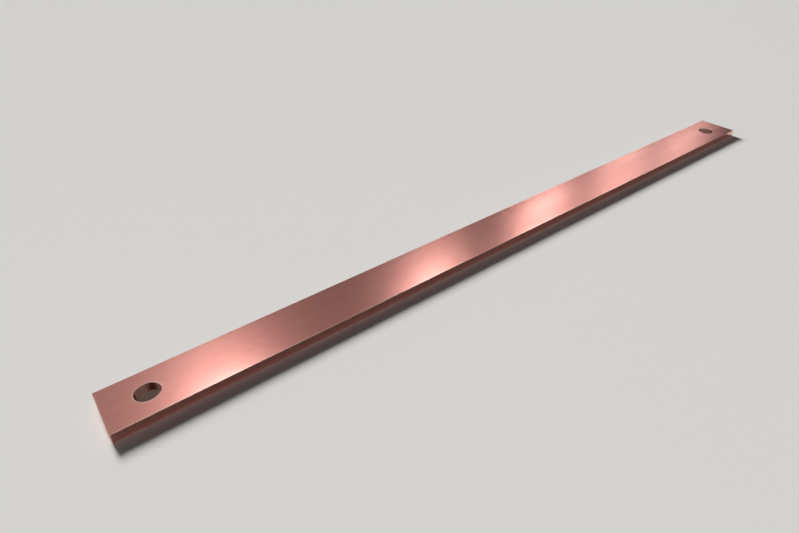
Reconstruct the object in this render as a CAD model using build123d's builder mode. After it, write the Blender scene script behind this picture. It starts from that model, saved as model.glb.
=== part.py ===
"""Flat copper busbar, lying on its wide face.

It is one piece of hard-drawn flat copper bar. The drawing die leaves a small radius
along the four long edges. Both ends are sawn square and deburred, and one bolt hole
is drilled through near each end, on the bar's centre line, and deburred on both sides.

The origin is the middle of the underside. +X runs along the bar, +Y across its width
and +Z up through its thickness. Sizes are in millimetres.
"""

import os

from build123d import *

# Flat bar as drawn
bar_length = 500.0
bar_width = 30.0
bar_thickness = 5.0
corner_radius = 0.2  # radius along the four long edges

# Sawn ends
end_deburr = 0.1  # chamfer round each sawn face

# Bolt holes, one near each end
hole_diameter = 11.5
hole_to_end = 19.5  # from a hole's centre to the sawn face beside it
hole_deburr = 0.2  # chamfer round each rim, above and below

with BuildPart() as busbar:
    # The section is drawn on the left sawn face and runs the bar's whole length.
    with BuildSketch(Plane.YZ.offset(-bar_length / 2)) as section:
        with Locations((0, bar_thickness / 2)):
            RectangleRounded(bar_width, bar_thickness, corner_radius)
    extrude(amount=bar_length)

    sawn_faces = busbar.faces().filter_by(Axis.X)
    chamfer(sawn_faces.edges(), length=end_deburr)

    hole_spacing = bar_length - 2 * hole_to_end
    with Locations(Plane.XY.offset(bar_thickness)):
        with GridLocations(hole_spacing, 0, 2, 1):
            Hole(radius=hole_diameter / 2)

    # The rims are the widest circles on the bar.
    rims = busbar.edges().filter_by(GeomType.CIRCLE).group_by(SortBy.RADIUS)[-1]
    chamfer(rims, length=hole_deburr)

busbar.part.label = "busbar"

os.makedirs("parts", exist_ok=True)
export_step(busbar.part, "parts/busbar.step")
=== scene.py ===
import math
import bpy
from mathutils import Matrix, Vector


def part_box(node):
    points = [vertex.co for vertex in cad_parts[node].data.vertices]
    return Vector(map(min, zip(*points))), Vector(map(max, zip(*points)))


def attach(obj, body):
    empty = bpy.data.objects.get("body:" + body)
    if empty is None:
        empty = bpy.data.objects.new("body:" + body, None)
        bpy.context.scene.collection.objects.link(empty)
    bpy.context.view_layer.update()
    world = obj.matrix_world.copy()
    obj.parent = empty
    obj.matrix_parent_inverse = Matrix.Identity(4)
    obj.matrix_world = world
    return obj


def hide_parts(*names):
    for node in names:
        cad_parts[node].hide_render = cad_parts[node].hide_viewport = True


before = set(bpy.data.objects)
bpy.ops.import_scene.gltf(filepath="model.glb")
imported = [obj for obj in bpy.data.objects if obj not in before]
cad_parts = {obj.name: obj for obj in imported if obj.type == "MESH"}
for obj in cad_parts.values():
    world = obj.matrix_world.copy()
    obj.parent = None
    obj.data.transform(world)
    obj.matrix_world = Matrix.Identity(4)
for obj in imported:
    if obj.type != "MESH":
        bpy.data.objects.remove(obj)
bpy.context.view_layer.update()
print("loaded the frame:", ", ".join(sorted(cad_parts)))

scene = bpy.context.scene
scene.view_settings.view_transform = "Standard"


def linearColour(hexText):
    # an sRGB hex value as linear red, green, blue and alpha
    parts = [int(hexText[i:i + 2], 16) / 255 for i in (1, 3, 5)]
    return [p / 12.92 if p <= 0.04045 else ((p + 0.055) / 1.055) ** 2.4 for p in parts] + [1.0]


def addNode(tree, kind, settings=None, values=None, links=None):
    # settings are the node's own options, values its unlinked sockets, links its linked ones
    node = tree.nodes.new(kind)
    for name, value in (settings or {}).items():
        setattr(node, name, value)
    for name, value in (values or {}).items():
        node.inputs[name].default_value = value
    for name, socket in (links or {}).items():
        tree.links.new(socket, node.inputs[name])
    return node


def direction(heading, height):
    # heading in degrees from the bar's length towards its back edge, height in degrees above level
    around = math.radians(heading)
    up = math.radians(height)
    return Vector((math.cos(up) * math.cos(around), math.cos(up) * math.sin(around), math.sin(up)))


# Camera

cameraSetup = {
    "place": (-0.23510, -0.22907, 0.20421),
    "heading": 49.841,
    "height": -34.637,  # it looks down
    "picture": (799, 533),  # width and height in pixels
    "focal": 576.70,  # in pixels
    "centre": (467.63, 252.33),  # pixel that the lens axis meets
    "sensor": 36,  # in mm
    "nearest": 0.01,  # nothing closer to the lens is drawn
}


def addCamera():
    wide, tall = cameraSetup["picture"]
    centreX, centreY = cameraSetup["centre"]
    look = direction(cameraSetup["heading"], cameraSetup["height"])
    turn = look.to_track_quat("-Z", "Y").to_euler()
    bpy.ops.object.camera_add(location=cameraSetup["place"], rotation=turn)
    camera = bpy.context.object
    camera.name = "camera"
    camera.data.sensor_width = cameraSetup["sensor"]
    camera.data.lens = cameraSetup["focal"] / wide * cameraSetup["sensor"]
    camera.data.shift_x = (wide / 2 - centreX) / wide
    camera.data.shift_y = (centreY - tall / 2) / wide
    camera.data.clip_start = cameraSetup["nearest"]
    scene.camera = camera


addCamera()
print("placed the camera")


# Floor, lamps and room

studio = {
    "floorColour": "#F0EEEB",
    "floorRoughness": 0.7,
    "floorSize": 5.0,
    # a row of tall soft lamps behind the bar, which only metal mirrors
    "rowBehind": 1.5,
    "row": (  # place along the bar, height, width, tallness and watts
        (0.033, 1.731, 0.209, 0.57, 2.58),
        (1.030, 1.685, 0.200, 0.50, 2.43),
        (1.748, 1.515, 0.285, 0.50, 2.18),
        (2.394, 1.458, 0.398, 0.50, 1.88),
        (3.048, 1.435, 0.486, 0.50, 1.86),
    ),
    # a broad light from far behind, which lights the floor evenly and isn't mirrored in metal
    "key": {"heading": 90, "height": 25, "spread": 16, "strength": 5.3},
    # the room that metal mirrors, behind the bar and in front of it, from the left (-1) to the right (1)
    "behind": ((-0.9, "#E0E0E0"), (-0.4, "#C4C4C4"), (-0.1, "#9A9A9A"), (0.15, "#808080"),
               (0.35, "#6C6C6C"), (0.52, "#282828")),
    "infront": ((-0.9, "#8C8C8C"), (-0.6, "#D6D6D6"), (-0.3, "#808080"), (0.0, "#DCDCDC"),
                (0.3, "#7C7C7C"), (0.6, "#D2D2D2"), (0.9, "#8C8C8C")),
    "card": "#A4A4A4",  # stands low behind the bar, in front of the room's dark right end
    "dim": "#242424",  # the little light that the floor gets from the front and from above
    "skyline": "#DADAD8",  # the room's foot, where the floor ends, and all that the camera sees of the room
    # soft limits of all these: an axis, and the values on it between which each comes in
    "limits": {
        "belowCardTop": ("Z", 0.42, 0.34),
        "withinCardEnd": ("X", 0.80, 0.68),
        "infront": ("Y", 0.1, -0.5),
        "above": ("Z", 0.3, 0.5),
        "foot": ("Z", 0.14, 0.03),
    },
}


def addFloor():
    bpy.ops.mesh.primitive_plane_add(size=studio["floorSize"])
    floor = bpy.context.object
    floor.name = "floor"
    material = bpy.data.materials.new("pale floor")
    material.use_nodes = True
    surface = material.node_tree.nodes["Principled BSDF"]
    surface.inputs["Base Color"].default_value = linearColour(studio["floorColour"])
    surface.inputs["Roughness"].default_value = studio["floorRoughness"]
    floor.data.materials.append(material)


def addLamps():
    turn = (math.radians(-90), 0, 0)  # shining forwards
    for along, high, width, tall, watts in studio["row"]:
        bpy.ops.object.light_add(type="AREA", location=(along, studio["rowBehind"], high), rotation=turn)
        lamp = bpy.context.object
        lamp.data.shape = "RECTANGLE"
        lamp.data.size = width
        lamp.data.size_y = tall
        lamp.data.energy = watts
        lamp.visible_diffuse = False

    key = studio["key"]
    towards = direction(key["heading"], key["height"])
    turn = towards.to_track_quat("Z", "Y").to_euler()
    bpy.ops.object.light_add(type="SUN", location=towards, rotation=turn)
    lamp = bpy.context.object
    lamp.data.angle = math.radians(key["spread"])
    lamp.data.energy = key["strength"]
    lamp.visible_glossy = False


def addRoom():
    world = bpy.data.worlds.new("room")
    scene.world = world
    world.use_nodes = True
    tree = world.node_tree
    tree.nodes.clear()
    coords = addNode(tree, "ShaderNodeTexCoord")
    split = addNode(tree, "ShaderNodeSeparateXYZ", links={"Vector": coords.outputs["Generated"]})
    across = addNode(tree, "ShaderNodeMapRange", values={"From Min": -1.0},
                     links={"Value": split.outputs["X"]})

    walls = []
    for colours in (studio["behind"], studio["infront"]):
        ramp = addNode(tree, "ShaderNodeValToRGB", links={"Fac": across.outputs["Result"]})
        stops = ramp.color_ramp.elements
        for side, colour in colours:
            stop = stops.new((side + 1) / 2)
            stop.color = linearColour(colour)
        # the two stops that a new ramp has, at its ends
        stops.remove(stops[0])
        stops.remove(stops[len(stops) - 1])
        walls.append(ramp.outputs["Color"])
    backWall, frontWall = walls

    share = {}
    for name, (axis, start, end) in studio["limits"].items():
        step = addNode(tree, "ShaderNodeMapRange", {"interpolation_type": "SMOOTHSTEP"},
                       {"From Min": start, "From Max": end}, {"Value": split.outputs[axis]})
        share[name] = step.outputs["Result"]

    # what metal mirrors
    inCard = addNode(tree, "ShaderNodeMath", {"operation": "MULTIPLY"},
                     links={0: share["belowCardTop"], 1: share["withinCardEnd"]})
    behind = addNode(tree, "ShaderNodeMix", {"data_type": "RGBA", "blend_type": "LIGHTEN"},
                     {"B": linearColour(studio["card"])},
                     {"Factor": inCard.outputs["Value"], "A": backWall})
    mirrored = addNode(tree, "ShaderNodeMix", {"data_type": "RGBA"},
                       links={"Factor": share["infront"], "A": behind.outputs["Result"], "B": frontWall})

    # what lights the floor
    dimness = addNode(tree, "ShaderNodeMath", {"operation": "MAXIMUM"},
                      links={0: share["infront"], 1: share["above"]})
    lighting = addNode(tree, "ShaderNodeMix", {"data_type": "RGBA"}, {"B": linearColour(studio["dim"])},
                       {"Factor": dimness.outputs["Value"], "A": backWall})

    ray = addNode(tree, "ShaderNodeLightPath")
    either = addNode(tree, "ShaderNodeMix", {"data_type": "RGBA"},
                     links={"Factor": ray.outputs["Is Glossy Ray"], "A": lighting.outputs["Result"],
                            "B": mirrored.outputs["Result"]})
    plain = addNode(tree, "ShaderNodeMath", {"operation": "MAXIMUM"},
                    links={0: share["foot"], 1: ray.outputs["Is Camera Ray"]})
    room = addNode(tree, "ShaderNodeMix", {"data_type": "RGBA"}, {"B": linearColour(studio["skyline"])},
                   {"Factor": plain.outputs["Value"], "A": either.outputs["Result"]})
    light = addNode(tree, "ShaderNodeBackground", links={"Color": room.outputs["Result"]})
    addNode(tree, "ShaderNodeOutputWorld", links={"Surface": light.outputs["Background"]})


addFloor()
addLamps()
addRoom()
print("built the studio")


# The bar

barShape = {
    "edgeRadius": 0.0002,  # long edges, left by the drawing die
    "edgeSteps": 4,
    "endDeburr": 0.0001,  # round each sawn face
    "holeRadius": 0.00575,
    "holeToEnd": 0.0195,
    "holeDeburr": 0.0002,
    "holeSides": 96,
    "holePatch": 0.0125,  # half the length of the square of mesh that each hole sits in
    "spans": 8,  # faces along the bar between the two squares
    "smoothUpTo": 30,  # degrees, and edges sharper than this stay crisp
}


def selectEdges(test):
    # selects the edges of the edited mesh whose two ends pass the test
    bpy.ops.mesh.select_mode(type="EDGE")
    bpy.ops.mesh.select_all(action="DESELECT")
    bpy.ops.object.mode_set(mode="OBJECT")
    mesh = bpy.context.object.data
    for edge in mesh.edges:
        a, b = (mesh.vertices[v].co for v in edge.vertices)
        edge.select = test(a, b)
    bpy.ops.object.mode_set(mode="EDIT")


def makeBar():
    low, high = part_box("busbar")
    size = high - low
    near = 1e-6  # points closer than this count as one place
    holePlaces = [low.x + barShape["holeToEnd"], high.x - barShape["holeToEnd"]]
    deburr = barShape["holeDeburr"]
    rim = barShape["holeRadius"] + deburr

    # outline with the rims of its two holes, raised to the bar's thickness
    bpy.ops.object.select_all(action="DESELECT")
    bpy.ops.mesh.primitive_plane_add(size=1, location=(0, 0, 0))
    bar = bpy.context.object
    bar.name = "copperBar"
    bpy.ops.object.mode_set(mode="EDIT")
    bpy.ops.transform.resize(value=(size.x, size.y, 1))
    bpy.ops.mesh.delete(type="ONLY_FACE")
    for place in holePlaces:
        bpy.ops.mesh.primitive_circle_add(vertices=barShape["holeSides"], radius=rim, fill_type="NOTHING",
                                          location=(place, 0, 0))
    bpy.ops.mesh.select_all(action="SELECT")
    bpy.ops.mesh.fill(use_beauty=True)
    bpy.ops.mesh.select_all(action="SELECT")
    bpy.ops.mesh.extrude_region_move(TRANSFORM_OT_translate={"value": (0, 0, size.z)})
    bpy.ops.mesh.select_all(action="SELECT")
    bpy.ops.mesh.normals_make_consistent(inside=False)

    # the wall of each hole is cut a deburr away from both rims and drawn in between the cuts
    inward = barShape["holeRadius"] / rim
    for place in holePlaces:
        def onWall(co):
            return abs(math.hypot(co.x - place, co.y) - rim) < near

        for level in (low.z + deburr, high.z - deburr):
            selectEdges(lambda a, b: onWall(a) and onWall(b))
            bpy.ops.mesh.select_mode(type="FACE")
            bpy.ops.mesh.bisect(plane_co=(0, 0, level), plane_no=(0, 0, 1))
        selectEdges(lambda a, b: onWall(a) and onWall(b)
                    and all(low.z + near < co.z < high.z - near for co in (a, b)))
        bpy.ops.transform.resize(value=(inward, inward, 1), center_override=(place, 0, 0))

    # cut across the bar, so that the faces round a hole stay in a square of their own
    patch = barShape["holePatch"]
    spans = barShape["spans"]
    first = holePlaces[0] + patch
    last = holePlaces[1] - patch
    cuts = [holePlaces[0] - patch, holePlaces[1] + patch]
    cuts += [first + (last - first) * i / spans for i in range(spans + 1)]
    for cut in cuts:
        bpy.ops.mesh.select_all(action="SELECT")
        bpy.ops.mesh.bisect(plane_co=(cut, 0, 0), plane_no=(1, 0, 0))

    # long edges, then the outline of each end
    selectEdges(lambda a, b: abs(a.y - b.y) < near and abs(a.z - b.z) < near
                and abs(abs(a.y) - size.y / 2) < near)
    bpy.ops.mesh.bevel(offset=barShape["edgeRadius"], segments=barShape["edgeSteps"], profile=0.5,
                       affect="EDGES")
    for end in (low.x, high.x):
        selectEdges(lambda a, b: abs(a.x - end) < near and abs(b.x - end) < near)
        bpy.ops.mesh.bevel(offset=barShape["endDeburr"], segments=1, affect="EDGES")
    bpy.ops.object.mode_set(mode="OBJECT")
    bpy.ops.object.shade_smooth_by_angle(angle=math.radians(barShape["smoothUpTo"]))
    bpy.ops.object.modifier_add(type="WEIGHTED_NORMAL")
    bar.modifiers[-1].keep_sharp = True
    bar.modifiers[-1].weight = 100
    bpy.ops.object.modifier_apply(modifier=bar.modifiers[-1].name)
    return bar


# The bar's copper, as the die, the saw and the drill leave it, with painted light on its edges, narrow faces
# and hole walls. Each cut is the pair of noise values between which a mark comes in.

copper = {
    "bright": "#F9AEA2",
    "dull": "#F1A398",  # where handling has dulled it a little
    "groove": "#CF7C70",  # oxide in the die lines
    "wornAndGlint": "#FFCABC",  # along edges and rims: rubbed paler, and a painted highlight line
    "narrowPaintedPale": "#FFD2C6",  # the two narrow faces, painted paler to lift the reddish shade that they mirror from the floor
    "narrowPaintedShare": 0.5,
    "narrowReach": 0.0005,  # how far that wraps round the edges
    "roughness": 0.233,
    "roughnessSpread": 0.010,
    "roughnessCut": (0.3, 0.7),
    "dullPatch": (0.070, 0.018),  # length and width of a dulled patch
    "dullCut": (0.4, 0.7),
    "lineLength": 1.6,  # a die line changes little over the bar's whole length
    "linePitch": 0.0011,  # lines of a drawn bar are 0.1 mm apart, and only every tenth or so shows
    "lineCut": (0.46, 0.34),
    "lineShade": 0.16,
    "lineDepth": 0.000004,
    "scratchLength": 0.045,
    "scratchPitch": 0.0040,
    "scratchTurn": 7,  # degrees off the bar's length
    "scratchCut": (0.66, 0.72),
    "scratchShade": 0.6,
    "wearAndGlintWidth": 0.0012,
    "wearAndGlintPatch": 0.00625,  # the rubbed and painted pale band comes and goes along an edge
    "wearAndGlintCut": (0.35, 0.6),
    "wearAndGlintLeast": 0.3,
    "sawnBright": "#FFB9AB",
    "sawnDark": "#EBA296",
    "sawnRoughness": 0.29,
    "sawPitch": 0.00024,  # a cold saw feeds 0.05 mm a tooth, drawn coarser so that the arcs show
    "sawCentre": (0, 0.150, 0.04),  # of a blade 300 mm across that comes down over the bar's back edge
    "sawCut": (0.3, 0.7),
    "sawDepth": 0.000005,
    # painted paler than the drawn copper, to lift the shade inside the hole
    "drilledPaintedPale": "#FFDFD3",
    "drilledPaintedBand": "#9C6659",  # painted dark bands, as reflections on the hole wall
    "drilledRoughness": 0.42,
    "paintedBandWidth": 0.0034,  # width of a painted dark band
    "paintedBandLength": 0.034,
    "paintedBandShift": (0.3, 0.8, 0),
    "paintedBandCut": (0.48, 0.66),
    "drillPitch": 0.00025,  # feed of the drill in one turn
    "drillDepth": 0.000012,
}


def newCopper(name, roughness):
    # bare copper to put marks on, and the coordinates that the marks follow
    material = bpy.data.materials.new(name)
    material.use_nodes = True
    tree = material.node_tree
    surface = tree.nodes["Principled BSDF"]
    surface.inputs["Metallic"].default_value = 1.0
    surface.inputs["Roughness"].default_value = roughness
    place = addNode(tree, "ShaderNodeTexCoord").outputs["Object"]
    return material, tree, surface, place


def measureBar(tree, place):
    # how far a point is out from the bar's middle, and in from its faces, along each axis
    low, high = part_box("busbar")
    middle = (low + high) / 2
    half = (high - low) / 2
    offset = addNode(tree, "ShaderNodeVectorMath", {"operation": "SUBTRACT"}, {1: middle}, {0: place})
    outward = addNode(tree, "ShaderNodeVectorMath", {"operation": "ABSOLUTE"},
                      links={0: offset.outputs["Vector"]})
    inward = addNode(tree, "ShaderNodeVectorMath", {"operation": "SUBTRACT"}, {0: half},
                     {1: outward.outputs["Vector"]})
    gaps = addNode(tree, "ShaderNodeSeparateXYZ", links={"Vector": inward.outputs["Vector"]})
    return outward, gaps


def rubbedAndGlintEdges(tree, place, outward, gaps):
    # distance from the nearest edge: the middle one of the distances from the three pairs of faces
    lower = addNode(tree, "ShaderNodeMath", {"operation": "MINIMUM"},
                    links={0: gaps.outputs["X"], 1: gaps.outputs["Y"]})
    upper = addNode(tree, "ShaderNodeMath", {"operation": "MAXIMUM"},
                    links={0: gaps.outputs["X"], 1: gaps.outputs["Y"]})
    other = addNode(tree, "ShaderNodeMath", {"operation": "MINIMUM"},
                    links={0: upper.outputs["Value"], 1: gaps.outputs["Z"]})
    fromEdge = addNode(tree, "ShaderNodeMath", {"operation": "MAXIMUM"},
                       links={0: lower.outputs["Value"], 1: other.outputs["Value"]})

    # distance from the rim of the nearer hole
    low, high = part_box("busbar")
    holeCentre = (high.x - barShape["holeToEnd"], 0, 0)
    aside = addNode(tree, "ShaderNodeVectorMath", {"operation": "SUBTRACT"}, {1: holeCentre},
                    {0: outward.outputs["Vector"]})
    level = addNode(tree, "ShaderNodeVectorMath", {"operation": "MULTIPLY"}, {1: (1, 1, 0)},
                    {0: aside.outputs["Vector"]})
    reach = addNode(tree, "ShaderNodeVectorMath", {"operation": "LENGTH"},
                    links={0: level.outputs["Vector"]})
    fromRim = addNode(tree, "ShaderNodeMath", {"operation": "SUBTRACT"},
                      {1: barShape["holeRadius"] + barShape["holeDeburr"]}, {0: reach.outputs["Value"]})

    nearest = addNode(tree, "ShaderNodeMath", {"operation": "MINIMUM"},
                      links={0: fromEdge.outputs["Value"], 1: fromRim.outputs["Value"]})
    # a pale band along edges and rims: rubbed wear, and a painted highlight line
    rubbedAndGlint = addNode(tree, "ShaderNodeMapRange", {"interpolation_type": "SMOOTHSTEP"},
                     {"From Min": copper["wearAndGlintWidth"], "From Max": 0.0}, {"Value": nearest.outputs["Value"]})
    uneven = addNode(tree, "ShaderNodeTexNoise", values={"Scale": 1 / copper["wearAndGlintPatch"], "Detail": 3.0},
                     links={"Vector": place})
    start, end = copper["wearAndGlintCut"]
    broken = addNode(tree, "ShaderNodeMapRange",
                     values={"From Min": start, "From Max": end, "To Min": copper["wearAndGlintLeast"]},
                     links={"Value": uneven.outputs["Fac"]})
    wearAndGlint = addNode(tree, "ShaderNodeMath", {"operation": "MULTIPLY"},
                   links={0: rubbedAndGlint.outputs["Result"], 1: broken.outputs["Result"]})
    return wearAndGlint.outputs["Value"]


def drawnCopper():
    # hard-drawn copper: satin, with faint lines along the bar from the die, a few handling scratches, soft
    # dull patches from hands, and paler where its edges and rims are rubbed, which is also a painted
    # highlight line; its two narrow faces are painted paler to lift the shade that they mirror
    material, tree, surface, place = newCopper("drawn copper", copper["roughness"])

    # die lines, far longer than they are wide
    pitch = copper["linePitch"]
    along = addNode(tree, "ShaderNodeMapping",
                    values={"Scale": (1 / copper["lineLength"], 1 / pitch, 1 / pitch)},
                    links={"Vector": place})
    lines = addNode(tree, "ShaderNodeTexNoise", values={"Scale": 1.0, "Detail": 2.0, "Roughness": 0.6},
                    links={"Vector": along.outputs["Vector"]})
    start, end = copper["lineCut"]
    grooves = addNode(tree, "ShaderNodeMapRange",
                      values={"From Min": start, "From Max": end, "To Max": copper["lineShade"]},
                      links={"Value": lines.outputs["Fac"]})

    # scratches: the few crests of a stretched noise turned a little off the bar's length
    turned = addNode(tree, "ShaderNodeMapping", {"vector_type": "TEXTURE"},
                     {"Rotation": (0, 0, math.radians(copper["scratchTurn"])),
                      "Scale": (copper["scratchLength"], copper["scratchPitch"], copper["scratchPitch"])},
                     {"Vector": place})
    crests = addNode(tree, "ShaderNodeTexNoise", values={"Scale": 1.0, "Detail": 5.0, "Roughness": 0.75},
                     links={"Vector": turned.outputs["Vector"]})
    start, end = copper["scratchCut"]
    scratches = addNode(tree, "ShaderNodeMapRange",
                        values={"From Min": start, "From Max": end, "To Max": copper["scratchShade"]},
                        links={"Value": crests.outputs["Fac"]})

    # patches dulled by hands
    patchLength, patchWidth = copper["dullPatch"]
    spread = addNode(tree, "ShaderNodeMapping",
                     values={"Scale": (1 / patchLength, 1 / patchWidth, 1 / patchWidth)},
                     links={"Vector": place})
    patches = addNode(tree, "ShaderNodeTexNoise", values={"Scale": 1.0, "Detail": 4.0, "Roughness": 0.55},
                      links={"Vector": spread.outputs["Vector"]})
    start, end = copper["dullCut"]
    dullness = addNode(tree, "ShaderNodeMapRange", values={"From Min": start, "From Max": end},
                       links={"Value": patches.outputs["Fac"]})

    # edges and rims rubbed bare, with a painted highlight line there, and the narrow faces painted paler
    # against the shade that they mirror
    outward, gaps = measureBar(tree, place)
    wearAndGlint = rubbedAndGlintEdges(tree, place, outward, gaps)
    bareAndGlint = addNode(tree, "ShaderNodeMath", {"operation": "MAXIMUM"},
                   links={0: wearAndGlint, 1: scratches.outputs["Result"]})
    # the narrow faces painted paler, to lift the reddish shade that they mirror from the floor
    paintedSideShare = addNode(tree, "ShaderNodeMapRange",
                       values={"From Min": copper["narrowReach"], "From Max": barShape["edgeRadius"],
                               "To Max": copper["narrowPaintedShare"]},
                       links={"Value": gaps.outputs["Y"]})

    handled = addNode(tree, "ShaderNodeMix", {"data_type": "RGBA"},
                      {"A": linearColour(copper["bright"]), "B": linearColour(copper["dull"])},
                      {"Factor": dullness.outputs["Result"]})
    lined = addNode(tree, "ShaderNodeMix", {"data_type": "RGBA"}, {"B": linearColour(copper["groove"])},
                    {"Factor": grooves.outputs["Result"], "A": handled.outputs["Result"]})
    paintedSides = addNode(tree, "ShaderNodeMix", {"data_type": "RGBA"}, {"B": linearColour(copper["narrowPaintedPale"])},
                    {"Factor": paintedSideShare.outputs["Result"], "A": lined.outputs["Result"]})
    colour = addNode(tree, "ShaderNodeMix", {"data_type": "RGBA"}, {"B": linearColour(copper["wornAndGlint"])},
                     {"Factor": bareAndGlint.outputs["Value"], "A": paintedSides.outputs["Result"]})
    tree.links.new(colour.outputs["Result"], surface.inputs["Base Color"])

    mean = copper["roughness"]
    swing = copper["roughnessSpread"]
    start, end = copper["roughnessCut"]
    satin = addNode(tree, "ShaderNodeMapRange",
                    values={"From Min": start, "From Max": end,
                            "To Min": mean - swing, "To Max": mean + swing},
                    links={"Value": patches.outputs["Fac"]})
    tree.links.new(satin.outputs["Result"], surface.inputs["Roughness"])

    relief = addNode(tree, "ShaderNodeBump", values={"Strength": 1.0, "Distance": copper["lineDepth"]},
                     links={"Height": lines.outputs["Fac"]})
    tree.links.new(relief.outputs["Normal"], surface.inputs["Normal"])
    return material


def sawnCopper():
    # copper cut by a cold saw: brighter and rougher than the drawn faces, with fine uneven arcs across it
    material, tree, surface, place = newCopper("sawn copper", copper["sawnRoughness"])
    moved = addNode(tree, "ShaderNodeVectorMath", {"operation": "SUBTRACT"}, {1: copper["sawCentre"]},
                    {0: place})
    across = addNode(tree, "ShaderNodeVectorMath", {"operation": "MULTIPLY"}, {1: (0, 1, 1)},
                     {0: moved.outputs["Vector"]})
    reach = addNode(tree, "ShaderNodeVectorMath", {"operation": "LENGTH"},
                    links={0: across.outputs["Vector"]})
    arcs = addNode(tree, "ShaderNodeTexNoise", {"noise_dimensions": "1D"},
                   {"Scale": 1 / copper["sawPitch"], "Detail": 1.0, "Roughness": 0.3},
                   {"W": reach.outputs["Value"]})
    start, end = copper["sawCut"]
    shade = addNode(tree, "ShaderNodeMapRange", values={"From Min": start, "From Max": end},
                    links={"Value": arcs.outputs["Fac"]})
    colour = addNode(tree, "ShaderNodeMix", {"data_type": "RGBA"},
                     {"A": linearColour(copper["sawnDark"]), "B": linearColour(copper["sawnBright"])},
                     {"Factor": shade.outputs["Result"]})
    tree.links.new(colour.outputs["Result"], surface.inputs["Base Color"])
    relief = addNode(tree, "ShaderNodeBump", values={"Strength": 1.0, "Distance": copper["sawDepth"]},
                     links={"Height": arcs.outputs["Fac"]})
    tree.links.new(relief.outputs["Normal"], surface.inputs["Normal"])
    return material


def drilledCopper():
    # drilled copper: duller than the drawn faces, with the drill's fine rings down the wall, painted paler
    # than copper to lift the shade in the hole, and with brown runs that are painted dark reflections
    material, tree, surface, place = newCopper("drilled copper", copper["drilledRoughness"])
    width = copper["paintedBandWidth"]
    length = copper["paintedBandLength"]
    down = addNode(tree, "ShaderNodeMapping",
                   values={"Location": copper["paintedBandShift"], "Scale": (1 / width, 1 / width, 1 / length)},
                   links={"Vector": place})
    bandNoise = addNode(tree, "ShaderNodeTexNoise", values={"Scale": 1.0, "Detail": 2.0},
                   links={"Vector": down.outputs["Vector"]})
    # painted dark reflection bands down the wall
    start, end = copper["paintedBandCut"]
    paintedBands = addNode(tree, "ShaderNodeMapRange", values={"From Min": start, "From Max": end},
                   links={"Value": bandNoise.outputs["Fac"]})
    colour = addNode(tree, "ShaderNodeMix", {"data_type": "RGBA"},
                     {"A": linearColour(copper["drilledPaintedPale"]), "B": linearColour(copper["drilledPaintedBand"])},
                     {"Factor": paintedBands.outputs["Result"]})
    tree.links.new(colour.outputs["Result"], surface.inputs["Base Color"])
    depth = addNode(tree, "ShaderNodeSeparateXYZ", links={"Vector": place})
    rings = addNode(tree, "ShaderNodeTexNoise", {"noise_dimensions": "1D"},
                    {"Scale": 1 / copper["drillPitch"], "Detail": 1.0}, {"W": depth.outputs["Z"]})
    relief = addNode(tree, "ShaderNodeBump", values={"Strength": 1.0, "Distance": copper["drillDepth"]},
                     links={"Height": rings.outputs["Fac"]})
    tree.links.new(relief.outputs["Normal"], surface.inputs["Normal"])
    return material


def finishBar(bar):
    for material in (drawnCopper(), sawnCopper(), drilledCopper()):
        bar.data.materials.append(material)
    low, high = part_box("busbar")
    holeAlong = high.x - barShape["holeToEnd"]
    rim = barShape["holeRadius"] + barShape["holeDeburr"]
    for face in bar.data.polygons:
        fromHole = math.hypot(abs(face.center.x) - holeAlong, face.center.y)
        endOn = abs(face.normal.x) > 0.99
        upright = abs(face.normal.z) < 0.1
        if endOn and fromHole > rim:
            face.material_index = 1
        elif upright and fromHole < rim:
            face.material_index = 2


bar = makeBar()
finishBar(bar)
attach(bar, "root")
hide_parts("busbar")
print("made the bar:", len(bar.data.polygons), "faces")
